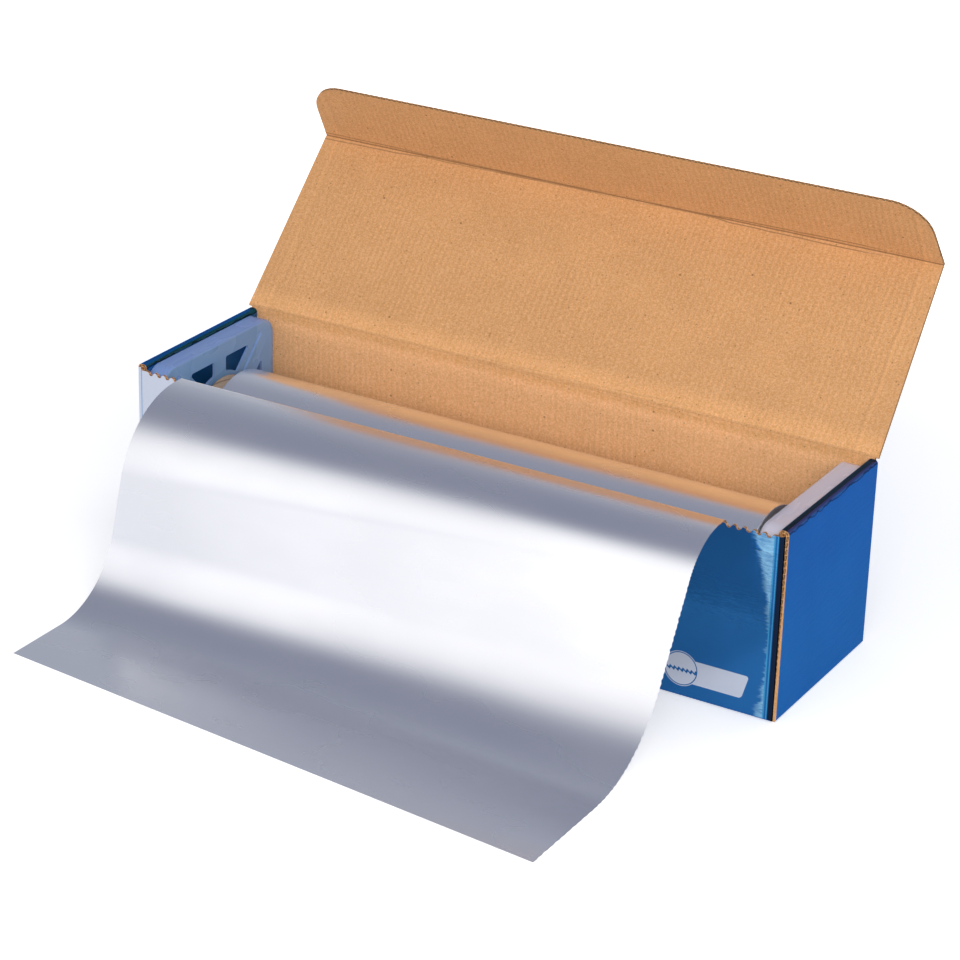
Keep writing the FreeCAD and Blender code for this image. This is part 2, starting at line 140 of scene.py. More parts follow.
class FoilSettings(bpy.types.PropertyGroup):
    """The foil, wound and drawn."""

    colour: FloatVectorProperty(
        name="Drawn Foil", description="Colour of the drawn foil's bright side", subtype="COLOR",
        default=(0.89, 0.89, 0.915), min=0, max=1,
    )
    wound_colour: FloatVectorProperty(
        name="Wound Foil", description="Colour of the tight, brighter turns on the tube", subtype="COLOR",
        default=(0.98, 0.98, 0.99), min=0, max=1,
    )
    roughness: FloatProperty(
        name="Roughness", description="How widely the foil spreads a reflection", default=0.25,
        min=0, max=1, subtype="FACTOR",
    )
    thickness: FloatProperty(
        name="Thickness", description="Thickness of the drawn foil as shown", default=0.00006,
        subtype="DISTANCE", unit="LENGTH",
    )
    waviness: FloatProperty(
        name="Waviness", description="Height of the drawn foil's slow waves", default=0.0005,
        subtype="DISTANCE", unit="LENGTH",
    )
    shown_turns: IntProperty(
        name="Shown Turns", description="Turns that show on the roll's ends", default=26, min=4, max=80,
    )


class HolderSettings(bpy.types.PropertyGroup):
    """Moulded end holders and the paper tube."""

    # the left rim's and the plate's blue is the wall behind them, painted into the plastic's colour
    plastic: FloatVectorProperty(
        name="Left Plastic", description="Colour of the left holder's milky rim", subtype="COLOR",
        default=(0.34, 0.52, 0.95), min=0, max=1,
    )
    right_plastic: FloatVectorProperty(
        name="Right Plastic", description="Colour of the right holder's milky rim", subtype="COLOR",
        default=(0.93, 0.87, 0.95), min=0, max=1,
    )
    plate_painted_wall_blue: FloatVectorProperty(
        name="Plate Plastic", description="Colour of the plate, which lies before the blue wall",
        subtype="COLOR", default=(0.36, 0.64, 1.0), min=0, max=1,
    )
    clearness: FloatProperty(
        name="Clearness", description="Share of light that passes the plate", default=0.58,
        min=0, max=1, subtype="FACTOR",
    )
    tube_paper: FloatVectorProperty(
        name="Tube Paper", description="Colour of the wound paper tube", subtype="COLOR",
        default=(0.46, 0.34, 0.24), min=0, max=1,
    )


class StageSettings(bpy.types.PropertyGroup):
    """Camera, floor and light."""

    azimuth: FloatProperty(
        name="Azimuth", description="Camera's turn from the front towards +X",
        default=math.radians(30.11), subtype="ANGLE", unit="ROTATION",
    )
    elevation: FloatProperty(
        name="Elevation", description="Camera's height above the horizon",
        default=math.radians(23.94), subtype="ANGLE", unit="ROTATION",
    )
    roll: FloatProperty(
        name="Roll", description="Camera's turn about its own line of sight",
        default=math.radians(1.59), subtype="ANGLE", unit="ROTATION",
    )
    distance: FloatProperty(
        name="Distance", description="From the camera to its target", default=1.5025,
        subtype="DISTANCE", unit="LENGTH",
    )
    target: FloatVectorProperty(
        name="Target", description="Point at the middle of the picture", subtype="TRANSLATION",
        default=(-0.0086, 0.0, 0.0569), unit="LENGTH",
    )
    lens: FloatProperty(
        name="Lens", description="Focal length on a 36 mm sensor, in millimetres", default=115.05,
        subtype="DISTANCE_CAMERA",
    )
    key_light: FloatProperty(
        name="Front Light", description="Brightness of the softbox beside the camera", default=23.0, min=0,
        unit="POWER",
    )
    fill_light: FloatProperty(
        name="Top Light", description="Brightness of the softbox overhead", default=6.0, min=0,
        unit="POWER",
    )


# Node helpers


def add_node(tree, kind, inputs=None, **settings):
    """A node with its settings; each input is a value or the socket that feeds it."""
    made = tree.nodes.new(kind)
    for name, value in settings.items():
        setattr(made, name, value)
    for key, value in (inputs or {}).items():
        if isinstance(value, bpy.types.NodeSocket):
            tree.links.new(value, made.inputs[key])
        else:
            made.inputs[key].default_value = value
    return made


def fed_node(kind, inputs, **settings):
    """A node in the tree that its first linked input comes from."""
    tree = next(value.id_data for value in inputs.values() if isinstance(value, bpy.types.NodeSocket))
    return add_node(tree, kind, inputs, **settings)


def calc(operation, *values):
    return fed_node("ShaderNodeMath", dict(enumerate(values)), operation=operation).outputs[0]


def plus(*values):
    return calc("ADD", *values)


def minus(*values):
    return calc("SUBTRACT", *values)


def times(*values):
    return calc("MULTIPLY", *values)


def size_of(value):
    return calc("ABSOLUTE", value)


def off_from(value, middle):
    """How far a value is from a middle, either way."""
    return size_of(minus(value, middle))


def vector_calc(operation, *values):
    return fed_node("ShaderNodeVectorMath", dict(enumerate(values)), operation=operation).outputs


def separate(vector):
    """X, Y and Z of a vector."""
    return fed_node("ShaderNodeSeparateXYZ", {0: vector}).outputs


def mix_colours(share, first, second):
    made = fed_node("ShaderNodeMix", {0: share, 6: first, 7: second}, data_type="RGBA", clamp_factor=True)
    return made.outputs[2]


def fade(value, start, end, low=0.0, high=1.0):
    """Smoothly from low at start to high at end."""
    made = fed_node(
        "ShaderNodeMapRange",
        {"Value": value, "From Min": start, "From Max": end, "To Min": low, "To Max": high},
        interpolation_type="SMOOTHSTEP",
    )
    return made.outputs["Result"]


def stretched(vector, scale):
    return fed_node("ShaderNodeMapping", {"Vector": vector, "Scale": scale}).outputs[0]


def noise_value(vector, scale, detail=2.0, roughness=0.5):
    inputs = {"Vector": vector, "Scale": scale, "Detail": detail, "Roughness": roughness}
    return fed_node("ShaderNodeTexNoise", inputs).outputs[0]


def new_group(name, inputs, outputs):
    """An empty node group with sockets given as {name: kind}. Returns it with its in and out nodes."""
    group = bpy.data.node_groups.new(name, "ShaderNodeTree")
    for direction, sockets in (("INPUT", inputs), ("OUTPUT", outputs)):
        for label, kind in sockets.items():
            group.interface.new_socket(label, in_out=direction, socket_type=f"NodeSocket{kind}")
    entry = group.nodes.new("NodeGroupInput")
    exit_node = group.nodes.new("NodeGroupOutput")
    return group, entry.outputs, exit_node.inputs


def use_group(group, inputs):
    return fed_node("ShaderNodeGroup", inputs, node_tree=group).outputs


def new_material(name):
    """A material with its shader and its Object coordinates."""
    material = bpy.data.materials.new(name)
    material.use_nodes = True
    nodes = material.node_tree.nodes
    return material, nodes["Principled BSDF"], nodes.new("ShaderNodeTexCoord").outputs["Object"]


def set_inputs(shader, **values):
    for name, value in values.items():
        socket = shader.inputs[name.replace("_", " ").title().replace("Ior", "IOR")]
        if isinstance(value, bpy.types.NodeSocket):
            shader.id_data.links.new(value, socket)
        else:
            socket.default_value = value


def bump(height, distance, strength=1.0, normal=None):
    inputs = {"Height": height, "Distance": distance, "Strength": strength}
    if normal is not None:
        inputs["Normal"] = normal
    return fed_node("ShaderNodeBump", inputs).outputs[0]


def opaque(colour, share=1.0):
    """The colour, darkened to a share of itself, without any see-through."""
    return (*(share * part for part in colour), 1.0)


def toned(colour, value, saturation=1.0):
    inputs = {"Color": colour, "Value": value, "Saturation": saturation}
    return fed_node("ShaderNodeHueSaturation", inputs).outputs[0]


# Effects that several finishes share


FLECK_BROWN = (0.20, 0.095, 0.04, 1)


def paper_fibre_group():
    """Mottled paper with flecks and pale fibres."""
    group, given, result = new_group(
        "paper_fibre", {"Vector": "Vector", "Colour": "Color"}, {"Colour": "Color", "Height": "Float"},
    )
    place = given["Vector"]
    cloud = noise_value(place, 38, 2)
    grain = noise_value(place, 1150, 3, 0.7)
    fibre = plus(*(
        fade(noise_value(stretched(place, axes), 1.0, 2), 0.57, 0.70)
        for axes in ((520, 1900, 1500), (1900, 560, 560))
    ))
    shade = plus(fade(cloud, 0.3, 0.7, -0.025, 0.025), fade(grain, 0.33, 0.67, -0.10, 0.085))
    value = plus(plus(shade, 1.0), times(fibre, 0.13))
    colour = toned(given["Colour"], value, fade(grain, 0.3, 0.7, 1.08, 0.95))
    for scale, reach, share, dark in ((165.0, 0.13, 0.82, 0.8), (390.0, 0.22, 0.74, 0.6)):
        cells = fed_node("ShaderNodeTexVoronoi", {"Vector": place, "Scale": scale, "Randomness": 1.0})
        chosen = fed_node("ShaderNodeSeparateColor", {0: cells.outputs["Color"]}).outputs[0]
        fleck = times(
            fade(cells.outputs["Distance"], reach, reach / 3),
            fade(chosen, share, share + 0.1, 0.0, dark),
        )
        colour = mix_colours(fleck, colour, FLECK_BROWN)
    group.links.new(colour, result["Colour"])
    group.links.new(grain, result["Height"])
    return group


def washboard_group():
    """The ridges that the flutes press into a liner, across one direction."""
    group, given, result = new_group(
        "washboard", {"Across": "Float", "Pitch": "Float", "Vector": "Vector"}, {"Height": "Float"},
    )
    turns = calc("DIVIDE", given["Across"], given["Pitch"])
    drift = fade(noise_value(given["Vector"], 30, 2), 0.3, 0.7, -0.12, 0.12)
    wave = calc("SINE", times(plus(turns, drift), math.tau))
    patch = fade(noise_value(given["Vector"], 22, 2), 0.35, 0.65, 0.35, 1.0)
    group.links.new(times(wave, patch), result["Height"])
    return group


def crease_line_group():
    """Where a fold runs: the pressed line itself with a cracked second line, darkened as painted shade, and the
    smoothed band beside it, lightened as a painted highlight.
    """
    group, given, result = new_group(
        "crease_line", {"Vector": "Vector", "Hinge": "Vector", "Reach": "Float"},
        {"Line": "Float", "Painted Highlight": "Float"},
    )
    place = given["Vector"]
    off = vector_calc("SUBTRACT", place, given["Hinge"])[0]
    away = vector_calc("LENGTH", stretched(off, (0, 1, 1)))["Value"]
    wander = fade(noise_value(stretched(place, (14, 2, 2)), 1.0, 3), 0.3, 0.7, 0.0, 0.0016)
    pressed = fade(minus(away, given["Reach"]), 0.0001, -0.0001)
    second = fade(off_from(away, plus(wander, 0.0012)), 0.00045, 0.00015)
    patch = fade(noise_value(stretched(place, (9, 9, 9)), 1.0, 2), 0.36, 0.52)
    # the crack is partly the torn liner and partly painted shade
    cracked = times(second, times(patch, 0.75))
    group.links.new(calc("MAXIMUM", times(pressed, 0.85), cracked), result["Line"])
    group.links.new(fade(away, 0.014, 0.003), result["Painted Highlight"])
    return group


def film_wrinkle_group():
    """Fine wrinkles of a laminated film, long across the flutes."""
    group, given, result = new_group("film_wrinkle", {"Vector": "Vector"}, {"Height": "Float"})
    long_waves = noise_value(stretched(given["Vector"], (70, 70, 420)), 1.0, 3, 0.6)
    short_waves = noise_value(stretched(given["Vector"], (260, 260, 900)), 1.0, 2)
    group.links.new(plus(long_waves, times(short_waves, 0.35)), result["Height"])
    return group


def rolling_lines_group():
    """Faint lines that a mill leaves along the foil, with cloudy patches."""
    group, given, result = new_group(
        "rolling_lines", {"Vector": "Vector"}, {"Height": "Float", "Haze": "Float"},
    )
    group.links.new(noise_value(stretched(given["Vector"], (2600, 26, 26)), 1.0, 2), result["Height"])
    group.links.new(noise_value(stretched(given["Vector"], (9, 22, 22)), 1.0, 3), result["Haze"])
    return group


# Finishes


def flute_ridges(place, axis, settings, groups):
    inputs = {"Across": separate(place)[axis], "Pitch": settings.flute_pitch, "Vector": place}
    return use_group(groups["washboard"], inputs)["Height"]


PRESSED_AT = 0.1655
BACK_WALL_FROM = (0.042, 0.047)
BACK_WALL_BELOW = (0.0945, 0.090)
CREASE_REACHES = (0.00095, 0.00135)
CREASE_SHADE_BROWN = (0.25, 0.115, 0.045, 1)


def kraft_material(name, settings, groups):
    """Bare liner with its flute ridges, pressed lines and the two cracked creases, whose relief is drawn as
    painted shade and highlight; the back wall is painted paler for the light on it.
    """
    material, shader, place = new_material(name)
    axes = separate(place)
    paper = use_group(groups["paper_fibre"], {"Vector": place, "Colour": opaque(settings.kraft)})
    ridges = flute_ridges(place, "X", settings, groups)
    lid, flap = (
        use_group(groups["crease_line"], {"Vector": place, "Hinge": tuple(hinge), "Reach": reach})
        for hinge, reach in zip((lid_hinge, flap_hinge), CREASE_REACHES)
    )
    # the lid's sides were pressed flat when the blank was stacked; each pressed line is drawn as a painted
    # highlight beside a line of painted shade
    beside = minus(size_of(axes["X"]), PRESSED_AT)
    wavy = plus(beside, fade(noise_value(place, 30, 2), 0.3, 0.7, -0.0006, 0.0006))
    painted_press_shade = fade(size_of(wavy), 0.0012, 0.0002)
    painted_press_highlight = fade(off_from(wavy, 0.0022), 0.0018, 0.0004)
    # painted light: the back wall's liner inside the box is made paler and less saturated, for the light that
    # falls on it from the front
    painted_back_wall_light = times(fade(axes["Y"], *BACK_WALL_FROM), fade(axes["Z"], *BACK_WALL_BELOW))
    # painted shade and highlight: each flute ridge is drawn darker on one side and paler on the other
    shade = fade(ridges, -1.0, 1.0, 0.95, 1.02)
    # painted highlights by the creases and pressed lines, painted shade on the pressed lines, painted light on
    # the back wall
    lighter = ((lid["Painted Highlight"], 0.17), (flap["Painted Highlight"], 0.03), (painted_press_highlight, 0.05), (painted_press_shade, -0.05), (painted_back_wall_light, 0.20))
    for mask, change in lighter:
        shade = plus(shade, times(mask, change))
    colour = toned(paper["Colour"], shade, fade(painted_back_wall_light, 0.0, 1.0, 1.0, 0.96))
    # painted shade: each crease's pressed line and crack are darkened towards brown
    for crease, dark in ((lid, 0.2), (flap, 0.85)):
        colour = mix_colours(times(crease["Line"], dark), colour, CREASE_SHADE_BROWN)
    grain = bump(paper["Height"], 0.00006, 0.45)
    set_inputs(
        shader, base_color=colour, roughness=0.8, specular_ior_level=0.3,
        normal=bump(ridges, 0.00005, 0.45, grain),
    )
    return material


NAVY = (0.004, 0.012, 0.035, 1)
HIGHLIGHT_CYAN = (0.06, 0.36, 0.62, 1)
REFLECTION_WEDGE_BLUE = (0.28, 0.55, 0.74, 1)
END_BLUE = (0.02, 0.215, 0.40, 1)
FOLD_REFLECTION_BLUE = (0.075, 0.07, 0.19, 1)
GRAZING_BLUE = (0.05, 0.42, 0.76, 1)
END_LINE_Z = 0.0943
METAL = 0.97
LINING_METAL = 0.45


def print_shader(shader, place, colour, settings, groups, across="X", metallic=METAL):
    """Metallised film over fluted board."""
    wrinkle = use_group(groups["film_wrinkle"], {"Vector": place})["Height"]
    swell = bump(noise_value(place, 14, 2), 0.0009, 0.5)
    ribbed = bump(flute_ridges(place, across, settings, groups), 0.000012, 0.35, swell)
    set_inputs(
        shader, base_color=colour, metallic=metallic, roughness=0.09, coat_weight=0.09, coat_roughness=0.05,
        specular_tint=GRAZING_BLUE, normal=bump(wrinkle, 0.00015, 0.6, ribbed),
    )


def toned_blue(place, settings):
    return toned(opaque(settings.print_blue), fade(noise_value(place, 25, 2), 0.3, 0.7, 0.94, 1.06))


def print_material(name, settings, groups):
    material, shader, place = new_material(name)
    print_shader(shader, place, toned_blue(place, settings), settings, groups)
    return material


def end_print_material(name, settings, groups):
    """End walls: plain blue with a wandering dark line under the folded top, which is a painted dark
    reflection.
    """
    material, shader, place = new_material(name)
    axes = separate(place)
    # painted dark reflection along the foot of the folded top, wandering a little
    fold_line_wander = noise_value(stretched(place, (8, 210, 8)), 1.0, 3)
    wander = fade(fold_line_wander, 0.25, 0.75, -0.0007, 0.0007)
    off = minus(minus(axes["Z"], END_LINE_Z), wander)
    line = fade(size_of(off), 0.00055, 0.00015)
    lighter = fade(axes["Z"], 0.095, 0.02, 0.08, 0.34)
    blue = mix_colours(lighter, toned_blue(place, settings), END_BLUE)
    # painted reflection: the right end's folded top is dulled to a grey-blue
    painted_fold_reflection = times(fade(axes["Z"], 0.0940, 0.0955), fade(axes["X"], 0.0, 0.1))
    blue = mix_colours(painted_fold_reflection, blue, FOLD_REFLECTION_BLUE)
    colour = mix_colours(times(line, 0.85), blue, NAVY)
    inside = fade(size_of(axes["X"]), 0.1772, 0.1768)
    low = times(inside, fade(axes["Z"], 0.0945, 0.0935))
    metallic = fade(low, 0.0, 1.0, METAL, LINING_METAL)
    print_shader(shader, place, colour, settings, groups, across="Z", metallic=metallic)
    return material


LABEL_CENTRE = (0.1485, 0.0143)
LABEL_HALF = (0.0148, 0.0060)
LABEL_SLANT = 0.28
LABEL_CORNER = 0.0016
DISC_CENTRE = (0.1303, 0.0148)
DISC_RADIUS = 0.0089
DISC_LINE = 0.00035
ZIGZAG_PITCH = 0.0022
ZIGZAG_HEIGHT = 0.0013
PALE_FIELD_EDGE = -0.045
PALE_FIELD_SLANT = -0.35
WAIST_Z = 0.036
WAIST_HALF = 0.056
REFLECTION_WEDGE_FROM = 0.1715
REFLECTION_WEDGE_WIDEST = 0.0095
REFLECTION_WEDGE_TO = (0.1730, 0.1725)
FOLD_HIGHLIGHT_LINES = ((0.1731, 0.00045), (0.1746, 0.00035))
DARK_BEND_FROM = (0.1749, 0.1754)


def front_print_material(settings, groups):
    """Front of the tray: a pale field on the left, blue on the right, with a plain label and a disc."""
    material, shader, place = new_material("front_print")
    axes = separate(place)
    x, z = axes["X"], axes["Z"]
    blue, pale = toned_blue(place, settings), opaque(settings.print_pale)

    edge = plus(times(z, PALE_FIELD_SLANT), PALE_FIELD_EDGE)
    field = calc("LESS_THAN", x, edge)
    colour = mix_colours(field, blue, pale)

    height = minus(z, LABEL_CENTRE[1])
    along = minus(minus(x, LABEL_CENTRE[0]), times(height, LABEL_SLANT))
    beyond = [
        calc("MAXIMUM", minus(size_of(value), half - LABEL_CORNER), 0.0)
        for value, half in ((along, LABEL_HALF[0]), (height, LABEL_HALF[1]))
    ]
    corner = calc("SQRT", plus(*(calc("POWER", value, 2.0) for value in beyond)))
    colour = mix_colours(calc("LESS_THAN", corner, LABEL_CORNER), colour, pale)

    across = fed_node("ShaderNodeCombineXYZ", {0: x, 1: z}).outputs[0]
    from_disc = vector_calc("DISTANCE", across, (*DISC_CENTRE, 0.0))["Value"]
    rim, inner_rim, inside = (
        calc("LESS_THAN", from_disc, DISC_RADIUS - lines * DISC_LINE) for lines in (0, 1, 2.5)
    )
    teeth = calc("PINGPONG", plus(x, times(z, 0.4)), ZIGZAG_PITCH / 2)
    rise = times(teeth, 2 * ZIGZAG_HEIGHT / ZIGZAG_PITCH)
    over = minus(minus(z, DISC_CENTRE[1] - 0.0012), rise)
    line = calc("LESS_THAN", size_of(over), 2 * DISC_LINE)
    for mask, ink in ((rim, pale), (inner_rim, blue), (inside, pale), (times(line, inside), blue)):
        colour = mix_colours(mask, colour, ink)

    # painted reflection: a silvery-blue wedge of reflected light before the right fold, widest at the top and
    # at the foot, broken up by the film's wrinkles
    waist = calc("POWER", calc("DIVIDE", minus(z, WAIST_Z), WAIST_HALF), 2.0)
    start = minus(REFLECTION_WEDGE_FROM, times(waist, REFLECTION_WEDGE_WIDEST))
    crinkle = use_group(groups["film_wrinkle"], {"Vector": place})["Height"]
    ragged = plus(start, fade(crinkle, 0.45, 0.85, -0.0016, 0.0016))
    painted_reflection_wedge = times(fade(minus(x, ragged), -0.0002, 0.0026), fade(crinkle, 0.42, 0.80, 0.25, 0.85))
    painted_reflection_wedge = times(painted_reflection_wedge, fade(x, *REFLECTION_WEDGE_TO))
    colour = mix_colours(painted_reflection_wedge, colour, REFLECTION_WEDGE_BLUE)
    # the right fold is dark round its bend; the two lines before it, where the board is pressed, are painted
    # highlights
    for pressed, width in FOLD_HIGHLIGHT_LINES:
        beside = fade(off_from(x, pressed), width, width / 3)
        colour = mix_colours(times(beside, 0.7), colour, HIGHLIGHT_CYAN)
    colour = mix_colours(fade(x, *DARK_BEND_FROM), colour, NAVY)
    print_shader(shader, place, colour, settings, groups)
    return material


def board_edge_material(settings, groups):
    """Cut edge of the board from its own UV map: two liners and the wavy flute between them, with painted shade
    in the hollows.
    """
    material, shader, place = new_material("board_edge")
    axes = separate(place.node.outputs["UV"])
    run, depth = axes["X"], axes["Y"]
    wave = calc("SINE", times(run, math.tau / settings.flute_pitch))
    middle = calc("MULTIPLY_ADD", wave, 0.33, 0.5)
    medium = fade(off_from(depth, middle), 0.16, 0.10)
    liner = fade(off_from(depth, 0.5), 0.33, 0.38)
    paper = use_group(groups["paper_fibre"], {"Vector": place, "Colour": opaque(settings.kraft)})
    solid = calc("MAXIMUM", medium, liner)
    # painted shade: the hollows between the liners and the flute are the kraft darkened to 0.28
    colour = mix_colours(solid, opaque(settings.kraft, 0.28), paper["Colour"])
    set_inputs(
        shader, base_color=colour, roughness=0.9, specular_ior_level=0.2,
        normal=bump(solid, 0.0004, 0.8),
    )
    return material


RIM_ALPHA = 0.46


def plastic_material(settings):
    """Milky plastic, clearer across the plate than along the rim, with the blue of the wall behind painted into
    the plate and the left rim.
    """
    material, shader, place = new_material("holder_plastic")
    flow = noise_value(stretched(place, (160, 40, 40)), 1.0, 2)
    face_on = size_of(separate(place.node.outputs["Normal"])["X"])
    # painted light: the left rim takes the blue of the wall behind it, the right rim keeps a milky mauve-grey
    to_right = fade(separate(place)["X"], -0.05, 0.05)
    rim = mix_colours(to_right, opaque(settings.plastic), opaque(settings.right_plastic))
    set_inputs(
        shader,
        base_color=mix_colours(fade(face_on, 0.5, 1.0), rim, opaque(settings.plate_painted_wall_blue)),
        roughness=fade(flow, 0.35, 0.65, 0.22, 0.30), ior=1.49, specular_ior_level=0.6,
        alpha=fade(face_on, 0.5, 1.0, RIM_ALPHA, 1 - settings.clearness),
        normal=bump(flow, 0.00008, 0.3),
    )
    return material


SEAM_PITCH = 0.09
SEAM_BROWN = (0.12, 0.08, 0.05, 1)


def tube_material(settings, groups):
    """Wound paper with a seam that climbs round the tube."""
    material, shader, place = new_material("tube_paper")
    paper = use_group(groups["paper_fibre"], {"Vector": place, "Colour": opaque(settings.tube_paper)})
    axes = separate(place)
    height = minus(axes["Z"], roll_axis.z)
    turn = calc("DIVIDE", calc("ARCTAN2", height, axes["Y"]), math.tau)
    climb = calc("DIVIDE", axes["X"], SEAM_PITCH)
    helix = calc("FRACT", plus(climb, plus(turn, 9.0)))
    seam = fade(off_from(helix, 0.5), 0.012, 0.004)
    colour = mix_colours(times(seam, 0.6), paper["Colour"], SEAM_BROWN)
    set_inputs(
        shader, base_color=colour, roughness=0.85, specular_ior_level=0.3,
        normal=bump(paper["Height"], 0.00006, 0.5),
    )
    return material


def foil_material(name, colour, settings, groups):
    """Rolled foil, a little duller in cloudy patches."""
    material, shader, place = new_material(name)
    lines = use_group(groups["rolling_lines"], {"Vector": place})
    hazy = mix_colours(fade(lines["Haze"], 0.35, 0.65), opaque(colour), opaque(colour, 0.96))
    low = settings.roughness
    set_inputs(
        shader, base_color=hazy, metallic=1.0,
        roughness=fade(lines["Haze"], 0.3, 0.7, low - 0.03, low + 0.05),
        normal=bump(lines["Height"], 0.00002, 0.35),
    )
    return material


def turn_end_material(settings):
    """Stacked cut edges of the foil at the roll's ends."""
    material, shader, place = new_material("turn_edges")
    centred = vector_calc("SUBTRACT", place, tuple(roll_axis))[0]
    radius = vector_calc("LENGTH", stretched(centred, (0, 1, 1)))["Value"]
    rings = fed_node(
        "ShaderNodeTexNoise", {"W": radius, "Scale": 9000.0, "Detail": 2.0}, noise_dimensions="1D",
    ).outputs[0]
    colour = mix_colours(fade(rings, 0.3, 0.7), opaque(settings.colour, 0.62), opaque(settings.colour))
    set_inputs(shader, base_color=colour, metallic=1.0, roughness=0.42, normal=bump(rings, 0.0001, 0.6))
    return material


# Mesh helpers


def new_piece(name, mesh, materials):
    piece = bpy.data.objects.new(name, mesh)
    bpy.context.scene.collection.objects.link(piece)
    for material in materials:
        mesh.materials.append(material)
    return piece


def smooth_shaded(mesh, angle):
    mesh.shade_smooth()
    mesh.set_sharp_from_angle(angle=math.radians(angle))


def merged_copy(node):
    """A copy of a node's mesh with its loose triangles joined."""
    mesh = frame["nodes"][node].data.copy()
    mesh.materials.clear()
    shell = bmesh.new()
    shell.from_mesh(mesh)
    bmesh.ops.remove_doubles(shell, verts=shell.verts, dist=1e-6)
    bmesh.ops.dissolve_degenerate(shell, edges=shell.edges, dist=1e-7)
    shell.to_mesh(mesh)
    shell.free()
    if mesh.has_custom_normals:
        mesh.attributes.remove(mesh.attributes["custom_normal"])
    smooth_shaded(mesh, 30)
    return mesh


KRAFT, PRINT, FRONT_PRINT, END_PRINT, CUT_EDGE = range(5)


def sort_faces(mesh, side_of):
    """Gives each face the material that side_of(centre, normal) names."""
    for face in mesh.polygons:
        face.material_index = side_of(face.center, face.normal)


def map_cut_edges(mesh, run_of):
    """UV on the cut edges: how far along the board, and how deep from its bare side to its print."""
    printed = set()
    for face in mesh.polygons:
        if face.material_index in (PRINT, FRONT_PRINT, END_PRINT):
            printed.update(face.vertices)
    layer = mesh.uv_layers.new(name="edge")
    for face in mesh.polygons:
        for loop in face.loop_indices:
            vertex = mesh.loops[loop].vertex_index
            layer.data[loop].uv = run_of(mesh.vertices[vertex].co), float(vertex in printed)


def dress_board(name, node, side_of, run_of, materials):
    mesh = merged_copy(node)
    sort_faces(mesh, side_of)
    map_cut_edges(mesh, run_of)
    piece = new_piece(name, mesh, materials)
    weighted = piece.modifiers.new("flat_panels", "WEIGHTED_NORMAL")
    weighted.keep_sharp = True
    return piece


def tray_side(centre, normal):
    """Which side of the board a face of the tray is."""
    out, side = math.copysign(1, centre.x), math.copysign(1, centre.y)
    end, depth = abs(centre.x), abs(centre.y)
    wall_cut = abs(normal.y) > 0.99 and abs(depth - END_WALL_REACH) < NEAR / 2
    in_corner_fold = (
        depth > tray_high.y - FOLD_RADIUS and end < CORNER_FLAP_END + NEAR
        and abs(normal.z) < 0.6 and not wall_cut
    )
    if normal.y < -0.9 and centre.x < -(tray_high.x - BOARD - NEAR) and centre.z < WRAP_TOP:
        return FRONT_PRINT
    if end > tray_high.x - END_LINING - NEAR and not in_corner_fold:
        facing_down = normal.z < -0.9 and centre.z > NEAR
        if abs(normal.y) > 0.9 or (facing_down and end < tray_high.x - BOARD - NEAR):
            return CUT_EDGE
        if normal.z < -0.6 and centre.z < NEAR:
            return PRINT
        if normal.z > 0.9 and end < CORNER_FLAP_END + NEAR and depth > tray_high.y - FOLD_RADIUS:
            return CUT_EDGE
        wall_middle = tray_high.x - END_LINING / 2
        outwards = Vector((end - wall_middle, 0, max(centre.z - (END_TOP - END_FOLD_RADIUS), 0)))
        faces_out = Vector((normal.x * out, 0, normal.z)).dot(outwards) > 0
        return END_PRINT if faces_out else KRAFT
    if centre.z < NEAR and normal.z < -0.5:
        return PRINT
    if centre.z > TOOTH_FOOT and abs(normal.y) < 0.5 and not in_corner_fold:
        return CUT_EDGE
    if abs(normal.y) > 0.9 and depth < SLIT_HALF:
        return CUT_EDGE
    corner = Vector((CORNER_FLAP_END - FOLD_RADIUS, tray_high.y - FOLD_RADIUS, FOLD_RADIUS))
    outwards = Vector((
        max(end - corner.x, 0) * out, max(depth - corner.y, 0) * side, -max(corner.z - centre.z, 0),
    ))
    if normal.dot(outwards) <= 0:
        return KRAFT
    return FRONT_PRINT if side < 0 and centre.z > FOLD_RADIUS / 2 else PRINT


def tray_run(point):
    if abs(point.x) > tray_high.x - END_LINING - NEAR:
        return point.z + abs(point.x)
    return point.x


def panel_frame(hinge, angle):
    """Two directions of a panel swung back by angle from shut: away from its crease, and its bare face."""
    return (Vector((0, -math.cos(angle), math.sin(angle))), Vector((0, -math.sin(angle), -math.cos(angle))))


def panel_side(bare):
    def side_of(centre, normal):
        facing = normal.dot(bare)
        if abs(facing) < 0.3:
            return CUT_EDGE
        return KRAFT if facing > 0 else PRINT
    return side_of


def crease_row(hinge, before, after, faces, reach, score):
    """Points across a fold on one side: rounded and scored where it is full, mitred where it is hollow."""
    half = BOARD / 2 + 0.00004
    start, end = faces
    bend = start.angle(end)
    steps = 12
    if (before + after).dot(start + end) > 0:
        mitre = half * math.tan(bend / 2)
        off = [mitre + reach * (step / steps) ** 2 for step in range(steps + 1)]
        row = [hinge + start * half + before * length for length in off[:0:-1]]
        return row + [hinge + end * half + after * length for length in off]
    row = [hinge + start * half + before * reach * (1 - step / 6) for step in range(6)]
    axis = start.cross(end).normalized()
    for step in range(steps + 1):
        off = abs(2 * step / steps - 1)
        turned = Matrix.Rotation(bend * step / steps, 3, axis) @ start
        row.append(hinge + turned * (half - score * math.exp(-6 * off * off)))
    return row + [hinge + end * half + after * reach * step / 6 for step in range(1, 7)]


